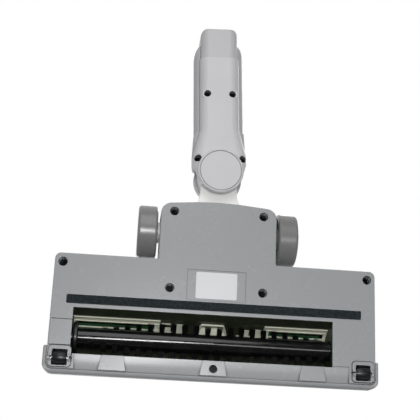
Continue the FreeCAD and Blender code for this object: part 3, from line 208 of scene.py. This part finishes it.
def moulded(name, colour, roughness=0.5, grain_mm=0.8, grain_depth=0.02, shade=0.06, worn="", wear=0.0,
            dust="", shade_reach_mm=0.0, painted_shade=0.0, smear=0.03):
    """Moulded plastic: grain bump, faint flow shading, uneven gloss, rubbed edges, painted shade in hollows
    and dust.
    """
    flow_mm = 45
    touch_mm = 14
    drift_mm = 11
    rub_mm = 0.5
    painted_shade_tone = 0.25
    dust_cover = 0.6
    material, tree, place = start_material(name)
    flow = add(tree, "TexNoise", {"Vector": place, "Scale": 1000 / flow_mm, "Detail": 3.0, "Roughness": 0.6})
    tone = add(tree, "Mix", {"Factor_Float": flow.outputs[0], "A_Color": shaded(colour, 1 - shade),
                             "B_Color": shaded(colour, 1 + shade)}, data_type="RGBA")
    base = tone.outputs[2]
    grain = add(tree, "TexNoise", {"Vector": place, "Scale": 1000 / grain_mm, "Detail": 2.0})
    bump = add(tree, "Bump", {"Strength": 0.5, "Distance": grain_depth * MM, "Height": grain.outputs[0]})
    if wear:
        soft = add(tree, "Bevel", {"Radius": rub_mm * MM}, samples=6)
        sharp = add(tree, "NewGeometry")
        meet = add(tree, "VectorMath", {0: soft.outputs[0], 1: sharp.outputs["Normal"]},
                   operation="DOT_PRODUCT")
        edge = add(tree, "MapRange", {"Value": meet.outputs["Value"], "From Min": 0.995, "From Max": 0.9,
                                      "To Min": 0.0, "To Max": wear})
        rub = add(tree, "Mix", {"Factor_Float": edge.outputs[0], "A_Color": base, "B_Color": linear(worn)},
                  data_type="RGBA")
        base = rub.outputs[2]
        tree.links.new(soft.outputs[0], bump.inputs["Normal"])
    # Painted shade: where ambient occlusion finds a hollow, the colour is darkened towards a dark copy of
    # itself.
    if painted_shade:
        shade_probe = add(tree, "AmbientOcclusion", {"Distance": shade_reach_mm * MM}, samples=8, only_local=True)
        painted_shade_mask = add(tree, "MapRange", {"Value": shade_probe.outputs["AO"], "From Min": 0.4, "From Max": 0.95,
                                       "To Min": painted_shade, "To Max": 0.0})
        painted_shade_mix = add(tree, "Mix", {"Factor_Float": painted_shade_mask.outputs[0], "A_Color": base,
                                 "B_Color": shaded(colour, painted_shade_tone)}, data_type="RGBA")
        base = painted_shade_mix.outputs[2]
    if dust:
        drift = add(tree, "TexNoise", {"Vector": place, "Scale": 1000 / drift_mm, "Detail": 6.0,
                                       "Roughness": 0.7})
        cover = add(tree, "MapRange", {"Value": drift.outputs[0], "From Min": 0.5, "From Max": 0.72,
                                       "To Min": 0.0, "To Max": dust_cover})
        lying = add(tree, "Mix", {"Factor_Float": cover.outputs[0], "A_Color": base,
                                  "B_Color": linear(dust)}, data_type="RGBA")
        base = lying.outputs[2]
    touch = add(tree, "TexNoise", {"Vector": place, "Scale": 1000 / touch_mm, "Detail": 4.0})
    gloss = add(tree, "MapRange", {"Value": touch.outputs[0], "From Min": 0.3, "From Max": 0.7,
                                   "To Min": roughness - smear, "To Max": roughness + smear})
    shader = add(tree, "BsdfPrincipled", {"Base Color": base, "Roughness": gloss.outputs[0], "IOR": 1.5,
                                          "Normal": bump.outputs[0]})
    add(tree, "OutputMaterial", {"Surface": shader.outputs[0]})
    return material


def clothe(material, *names):
    """Puts a material in every slot of these CAD nodes."""
    for name in names:
        slots = nodes[name].data.materials
        for i in range(len(slots)):
            slots[i] = material
        if not slots:
            slots.append(material)


# Painted shade darkens the seams, pad outlines and hollows of the sole plate and end cap.
sole_abs = moulded("grey_moulded_abs", "#989A9C", roughness=0.27, shade=0.025, worn="#B6B8BA", wear=0.6,
                   shade_reach_mm=2.4, painted_shade=0.95, smear=0.01)
clothe(sole_abs, "sole_plate", "end_cap")


# Top shell: pale grey ABS, injection moulded with a satin skin. It snaps over the sole plate and is held by
# the screws from below.
shell_abs = moulded("pale_satin_abs", "#C6C7C9", roughness=0.38, grain_mm=1.2, grain_depth=0.01,
                    worn="#D6D7D8", wear=0.5)
clothe(shell_abs, "top_shell")


# Bumper: a strip of softer grey elastomer, moulded to the nose and pushed onto it. Its skin is duller than
# that of the shell.
bumper_rubber = moulded("soft_grey_elastomer", "#A2A3A5", roughness=0.6, grain_mm=1.0, worn="#BABBBC",
                        wear=0.4)
clothe(bumper_rubber, "front_bumper")


# Chamber liner: ABS, moulded as a half tube and pressed in over the roll. Its dark olive colour is painted
# shade, standing for the dim inside of the chamber. It is dusty inside, and its edges are rubbed a little
# paler.
liner_painted_shade_abs = moulded("olive_painted_shade_abs", "#2A2F21", roughness=0.45, shade=0.25, worn="#34372A", wear=0.6,
                    dust="#4A463B")
clothe(liner_painted_shade_abs, "brush_chamber")


# Viewing window: green-tinted clear polycarbonate, moulded with polished faces and set behind the openings
# of the liner. Its faces are a little wavy, as thin clear mouldings are.
ripple_mm = 20
wave_depth = 0.05 * MM
material, tree, place = start_material("green_clear_polycarbonate")
ripple = add(tree, "TexNoise", {"Vector": place, "Scale": 1000 / ripple_mm, "Detail": 1.0})
wave = add(tree, "Bump", {"Strength": 0.3, "Distance": wave_depth, "Height": ripple.outputs[0]})
shader = add(tree, "BsdfPrincipled", {"Base Color": linear("#1A3420"), "Roughness": 0.06, "IOR": 1.58,
                                      "Transmission Weight": 1.0, "Normal": wave.outputs[0]})
add(tree, "OutputMaterial", {"Surface": shader.outputs[0]})
clothe(material, "viewing_window")


# Suction duct, frames round the viewing openings and motor clamp: cream ABS, moulded and pressed in from
# inside. Rails and small panels of the same cream run curved along the wall of the chamber.
duct_abs = moulded("cream_moulded_abs", "#DADCC8", roughness=0.5, shade=0.08, worn="#E8E9DA", wear=0.4)
clothe(duct_abs, "suction_duct", "lens_frames", "motor_clamp")

roll_low, roll_high = (Vector(corner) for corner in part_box("brush_core"))
roll_y = (roll_low.y + roll_high.y) / 2
roll_z = (roll_low.z + roll_high.z) / 2
roll_r = (roll_high.z - roll_low.z) / 2


def curved_bar(points, faces, radii, angles, span, steps=6):
    """Bar along the roll, curved round its axis, between two angles from the rear upwards."""
    section = ((span[0], radii[0]), (span[1], radii[0]), (span[1], radii[1]), (span[0], radii[1]))
    count = len(section)
    first = len(points)
    for k in range(steps + 1):
        turn = math.radians(angles[0] + (angles[1] - angles[0]) * k / steps)
        for x, r in section:
            points.append(Vector((x, roll_y + r * math.cos(turn), roll_z + r * math.sin(turn))))
    for k in range(steps):
        a = first + count * k
        for n in range(count):
            m = (n + 1) % count
            faces.append((a + n, a + count + n, a + count + m, a + m))
    last = first + count * steps
    faces.append(tuple(first + n for n in range(count)))
    faces.append(tuple(last + n for n in reversed(range(count))))


def make_piece(name, points, faces, material, body):
    """Mesh object from points in metres, riding on a body, with the material given."""
    mesh = bpy.data.meshes.new(name)
    mesh.from_pydata(points, [], faces)
    mesh.materials.append(material)
    piece = bpy.data.objects.new(name, mesh)
    bpy.context.scene.collection.objects.link(piece)
    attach(piece, body)
    return piece


# Each rail has its start and its end in millimetres, and each panel its two angles as well.
rail_radii = (16.7 * MM, 17.5 * MM)
rail_angles = (48.8, 52.4)
rails = ((42, 107), (-90, -42))
panel_radii = (17.0 * MM, 17.45 * MM)
panels = ((23, 29, 26, 53), (32.5, 40, 40, 53), (32.5, 40, 24, 30), (-29.5, -23.5, 34, 53),
          (-39.5, -33, 30, 53))
points, faces = [], []
for start, end in rails:
    curved_bar(points, faces, rail_radii, rail_angles, (start * MM, end * MM))
for start, end, low, high in panels:
    curved_bar(points, faces, panel_radii, (low, high), (start * MM, end * MM))
make_piece("chamber_rails", points, faces, duct_abs, "head")


# Felt strip: a ribbon of dark needled felt glued in its groove, its pile standing over half a millimetre
# proud of the backing. Single fibres are finer than the picture, so they are drawn 0.35 mm thick.
def fibre_material(name, dark, pale, roughness, sheen, shine):
    """Dyed fibres: colour differs from one fibre to the next, with a soft sheen at grazing angles."""
    clump_mm = 2.5
    nap_depth = 0.1 * MM
    material, tree, place = start_material(name)
    clumps = add(tree, "TexNoise", {"Vector": place, "Scale": 1000 / clump_mm, "Detail": 4.0})
    spread = add(tree, "MapRange", {"Value": clumps.outputs[0], "From Min": 0.35, "From Max": 0.65})
    tone = add(tree, "Mix", {"Factor_Float": spread.outputs[0], "A_Color": linear(dark),
                             "B_Color": linear(pale)}, data_type="RGBA")
    nap = add(tree, "Bump", {"Strength": 0.6, "Distance": nap_depth, "Height": clumps.outputs[0]})
    shader = add(tree, "BsdfPrincipled", {"Base Color": tone.outputs[2], "Roughness": roughness,
                                          "Sheen Weight": sheen, "Specular IOR Level": shine,
                                          "Normal": nap.outputs[0]})
    add(tree, "OutputMaterial", {"Surface": shader.outputs[0]})
    return material


def add_fibre(points, faces, root, tip, width, side):
    """Three-sided fibre tapering from root to tip; side is any direction across it."""
    sides = 3
    waist_at, waist_r = 0.6, 0.45
    along = (tip - root).normalized()
    first = along.cross(side).normalized()
    second = along.cross(first)
    start = len(points)
    for centre, r in ((root, width / 2), (root.lerp(tip, waist_at), width * waist_r)):
        for k in range(sides):
            turn = k * math.tau / sides
            points.append(centre + r * (math.cos(turn) * first + math.sin(turn) * second))
    points.append(tip)
    waist = start + sides
    for k in range(sides):
        n = (k + 1) % sides
        faces.append((start + k, start + n, waist + n, waist + k))
        faces.append((waist + k, waist + n, waist + sides))


felt_low, felt_high = (Vector(corner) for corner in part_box("felt_strip"))
pile_height = 0.6 * MM
felt_fibre = 0.35 * MM
felt_pitch = 0.55 * MM
felt_lean = 0.3
felt_shortest = 0.7
felt_side = Vector((1, 0.3, 0))
dice = random.Random(11)
points = [Vector((x, y, z)) for z in (felt_low.z + pile_height, felt_high.z)
          for x, y in ((felt_low.x, felt_low.y), (felt_high.x, felt_low.y), (felt_high.x, felt_high.y),
                       (felt_low.x, felt_high.y))]
faces = [(0, 3, 2, 1), (4, 5, 6, 7), (0, 1, 5, 4), (1, 2, 6, 5), (2, 3, 7, 6), (3, 0, 4, 7)]
columns = round((felt_high.x - felt_low.x) / felt_pitch)
rows = round((felt_high.y - felt_low.y) / felt_pitch)
for i in range(columns):
    for j in range(rows):
        x = felt_low.x + (i + dice.random()) * felt_pitch
        y = felt_low.y + (j + dice.random()) * felt_pitch
        root = Vector((x, y, felt_low.z + pile_height))
        lean = Vector((dice.uniform(-felt_lean, felt_lean), dice.uniform(-felt_lean, felt_lean), -1))
        tip = root + lean * pile_height * dice.uniform(felt_shortest, 1.0)
        tip.x = min(max(tip.x, felt_low.x), felt_high.x)
        tip.y = min(max(tip.y, felt_low.y), felt_high.y)
        add_fibre(points, faces, root, tip, felt_fibre, felt_side)
needled_felt = fibre_material("dark_needled_felt", "#1A2122", "#2B3436", 0.95, 0.15, 0.2)
felt = make_piece("felt_pile", points, faces, needled_felt, "head")
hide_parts("felt_strip")


# Label: blank white vinyl, cut to shape and stuck in its shallow recess in the sole plate. Its face is
# smooth and only half glossy.
label_vinyl = moulded("white_label_vinyl", "#D2D4D6", roughness=0.42, grain_mm=3.0, grain_depth=0.01,
                      shade=0.03)
clothe(label_vinyl, "rating_label")


# Screws: blackened steel, with their heads deep in counterbores. They hold the sole plate to the top shell,
# and the two shells of the tube together.
def metal(name, colour, roughness, grain_mm):
    """Bare or blackened metal with fine turning marks and a little tarnish."""
    tarnish_mm = 6
    tarnish_tone = 0.75
    smear = 0.08
    mark_depth = 0.02 * MM
    material, tree, place = start_material(name)
    marks = add(tree, "TexNoise", {"Vector": place, "Scale": 1000 / grain_mm, "Detail": 3.0})
    tarnish = add(tree, "TexNoise", {"Vector": place, "Scale": 1000 / tarnish_mm, "Detail": 3.0})
    tone = add(tree, "Mix", {"Factor_Float": tarnish.outputs[0], "A_Color": shaded(colour, tarnish_tone),
                             "B_Color": linear(colour)}, data_type="RGBA")
    uneven = add(tree, "MapRange", {"Value": tarnish.outputs[0], "From Min": 0.3, "From Max": 0.7,
                                    "To Min": roughness - smear, "To Max": roughness + smear})
    bump = add(tree, "Bump", {"Strength": 0.3, "Distance": mark_depth, "Height": marks.outputs[0]})
    shader = add(tree, "BsdfPrincipled", {"Base Color": tone.outputs[2], "Metallic": 1.0,
                                          "Roughness": uneven.outputs[0], "Normal": bump.outputs[0]})
    add(tree, "OutputMaterial", {"Surface": shader.outputs[0]})
    return material


black_screws = metal("blackened_screw_steel", "#17181A", 0.32, 0.4)
clothe(black_screws, "sole_screws", "tube_screws")


# Roll: black nylon, its core polished and its stepped end discs left as moulded, on a ground steel axle.
# The core is glossy enough to show one sharp line of light and every hairline scratch.
def glossy_black(name, colour, roughness):
    """Polished black plastic with hairline scratches and a film of dust."""
    scratch_mm = 1.5
    scratch_gloss = 0.2
    along_roll = (0.2, 1.0, 1.0)
    film_mm = 8
    film_paler = 0.008
    material, tree, place = start_material(name)
    stretch = add(tree, "Mapping", {"Vector": place, "Scale": along_roll})
    scratch = add(tree, "TexNoise", {"Vector": stretch.outputs[0], "Scale": 1000 / scratch_mm,
                                     "Detail": 4.0})
    uneven = add(tree, "MapRange", {"Value": scratch.outputs[0], "From Min": 0.4, "From Max": 0.75,
                                    "To Min": roughness, "To Max": roughness + scratch_gloss})
    dust = add(tree, "TexNoise", {"Vector": place, "Scale": 1000 / film_mm, "Detail": 5.0})
    film = add(tree, "MapRange", {"Value": dust.outputs[0], "From Min": 0.5, "From Max": 0.8})
    pale = tuple(c + film_paler for c in linear(colour)[:3]) + (1.0,)
    tone = add(tree, "Mix", {"Factor_Float": film.outputs[0], "A_Color": linear(colour), "B_Color": pale},
               data_type="RGBA")
    shader = add(tree, "BsdfPrincipled", {"Base Color": tone.outputs[2], "Roughness": uneven.outputs[0],
                                          "IOR": 1.5})
    add(tree, "OutputMaterial", {"Surface": shader.outputs[0]})
    return material


roll_nylon = glossy_black("polished_black_nylon", "#0B0B0D", 0.08)
clothe(roll_nylon, "brush_core")
flange_nylon = glossy_black("moulded_black_nylon", "#141517", 0.3)
clothe(flange_nylon, "brush_flange_cap_side", "brush_flange_drive_side", "motor_end_bell", "contact_block")
ground_steel = metal("ground_axle_steel", "#B9BBBD", 0.25, 0.3)
clothe(ground_steel, "brush_axle", "motor_shaft", "roller_pins", "wheel_axle_left", "wheel_axle_right")


# Bristles: bundles of black nylon stapled into the roll in two spiral rows that sweep to the middle. A
# bristle is drawn about twice as thick as the real one, so that it shows.
tuft_tip_r = 15.1 * MM
tuft_pitch = 8.8 * MM
tuft_places = range(-10, 11)
tuft_spirals = (0, 180)
tuft_middle_angle = -33.0
tuft_twist = 940.0
bundle = (3.4 * MM, 2.4 * MM)
bristles_across = (9, 6)
bristle_width = 0.42 * MM
bristle_foot = 0.6 * MM
bristle_side = Vector((1, 0.1, 0.2))
splay = 1.35
trim_mm = 0.35
stray_mm = 0.15
dice = random.Random(5)
points, faces = [], []
for i in tuft_places:
    x = tuft_pitch * (i + 0.5)
    centre = Vector((x, roll_y, roll_z))
    for half_turn in tuft_spirals:
        angle = math.radians(tuft_middle_angle + tuft_twist * abs(x) + half_turn)
        outward = Vector((0, math.cos(angle), math.sin(angle)))
        across = Vector((0, -math.sin(angle), math.cos(angle)))
        for a in range(bristles_across[0]):
            for b in range(bristles_across[1]):
                u = ((a + dice.random()) / bristles_across[0] - 0.5) * bundle[0]
                v = ((b + dice.random()) / bristles_across[1] - 0.5) * bundle[1]
                root = centre + outward * (roll_r - bristle_foot) + Vector((u, 0, 0)) + across * v
                length = tuft_tip_r - abs(dice.gauss(0, trim_mm)) * MM
                sideways = u * splay + dice.gauss(0, stray_mm) * MM
                onwards = v * splay + dice.gauss(0, stray_mm) * MM
                tip = centre + outward * length + Vector((sideways, 0, 0)) + across * onwards
                add_fibre(points, faces, root, tip, bristle_width, bristle_side)
bristle_nylon = fibre_material("black_nylon_bristle", "#060607", "#101012", 0.6, 0.0, 0.12)
bristles = make_piece("bristle_rows", points, faces, bristle_nylon, "brush")
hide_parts("brush_tufts")


# Drive: moulded acetal pulley on the roll, sintered bronze pulley and bushes, a flat rubber belt and a
# motor in a zinc plated can. The pivot arm of the neck is moulded of the same white acetal.
acetal = moulded("white_moulded_acetal", "#EDEDEB", roughness=0.32, grain_mm=1.5, grain_depth=0.01,
                 shade=0.03, worn="#E4E4E2", wear=0.5)
clothe(acetal, "brush_pulley", "pivot_arm")
bronze = metal("sintered_bronze", "#9A7B4F", 0.45, 0.5)
clothe(bronze, "motor_pulley", "drive_bush", "cap_bush")
belt_rubber = moulded("black_belt_rubber", "#1B1B1C", roughness=0.7, shade=0.2)
clothe(belt_rubber, "drive_belt")
can_steel = metal("zinc_plated_can", "#A9ABAD", 0.3, 0.6)
clothe(can_steel, "motor_can")


# Wheels: grey polypropylene with a half glossy skin, moulded in one and pushed on their axles, rubbed paler
# at the edges of the tread. The front rollers are black nylon.
wheel_pp = moulded("grey_wheel_polypropylene", "#777777", roughness=0.26, grain_mm=1.5, worn="#8C8C8C",
                   wear=0.6)
clothe(wheel_pp, "rear_wheel_left", "rear_wheel_right")
clothe(flange_nylon, "front_roller_left", "front_roller_right")


# Connector tube: two grey ABS shells screwed together, with round covers over the swivel. The upper shell is
# drawn darker as painted shade for the sides of the tube, and the shells, covers and spigot all have painted
# shade in their hollows. The spigot they hold is nylon, a tougher grade, drawn a little darker than the lower
# shell as painted shade for the dimmer far end of the tube.
# Painted shade darkens the hollows of the lower shell and covers, reaching 9 mm from their walls.
tube_abs = moulded("pale_tube_abs", "#C5C5C7", roughness=0.36, grain_mm=1.2, grain_depth=0.01,
                   worn="#D8D8DA", wear=0.5, shade_reach_mm=9.0, painted_shade=0.8)
clothe(tube_abs, "tube_lower_shell", "swivel_cap_below", "swivel_cap_above")
# Painted shade: this upper shell is given a darker grey to stand for the shaded sides of the tube, and its
# hollows are darkened as well.
back_painted_shade_abs = moulded("grey_tube_back_painted_shade_abs", "#B2B2B4", roughness=0.4, grain_mm=1.2, grain_depth=0.01,
                   worn="#C8C8CA", wear=0.5, shade_reach_mm=5.0, painted_shade=0.5)
clothe(back_painted_shade_abs, "tube_upper_shell")
# Painted shade: the spigot is given a darker grey to stand for the dimmer far end of the tube, and its
# hollows are darkened as well.
spigot_painted_shade_nylon = moulded("grey_spigot_painted_shade_nylon", "#BABABC", roughness=0.34, grain_mm=1.2, grain_depth=0.01,
                       worn="#CDCDCF", wear=0.6, shade_reach_mm=9.0, painted_shade=0.8)
clothe(spigot_painted_shade_nylon, "spigot_pipe")
brass = metal("contact_brass", "#C8A45A", 0.28, 0.4)
clothe(brass, "contact_pins")
